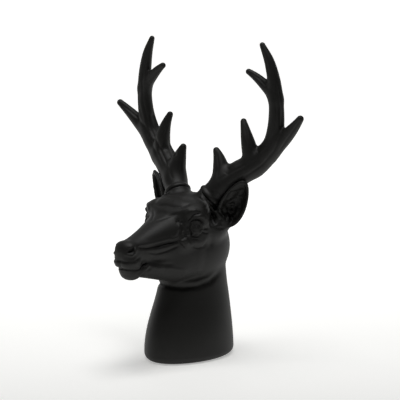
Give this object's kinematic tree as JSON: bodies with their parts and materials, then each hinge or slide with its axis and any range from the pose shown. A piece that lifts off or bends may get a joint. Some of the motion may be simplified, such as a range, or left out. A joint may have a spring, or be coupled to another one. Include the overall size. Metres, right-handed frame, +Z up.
{
  "type": "resin deer head figurine",
  "caption": "Stag's head on a neck with a flat oval foot, cast in matt black resin, with branched antlers seated on the skull.",
  "frame": {"origin": "middle of the flat underside of the neck's foot", "axes": "+Z up, the stag looks along -Y, its left side is +X"},
  "size_m": [0.2472, 0.1615, 0.3298],
  "materials": {
    "bust_resin": "cast polyresin sprayed matt black",
    "antler_resin": "cast polyresin sprayed matt black"
  },
  "bodies": {
    "root": {"head_and_neck": "bust_resin", "left_antler": "antler_resin", "right_antler": "antler_resin"}
  },
  "joints": []
}
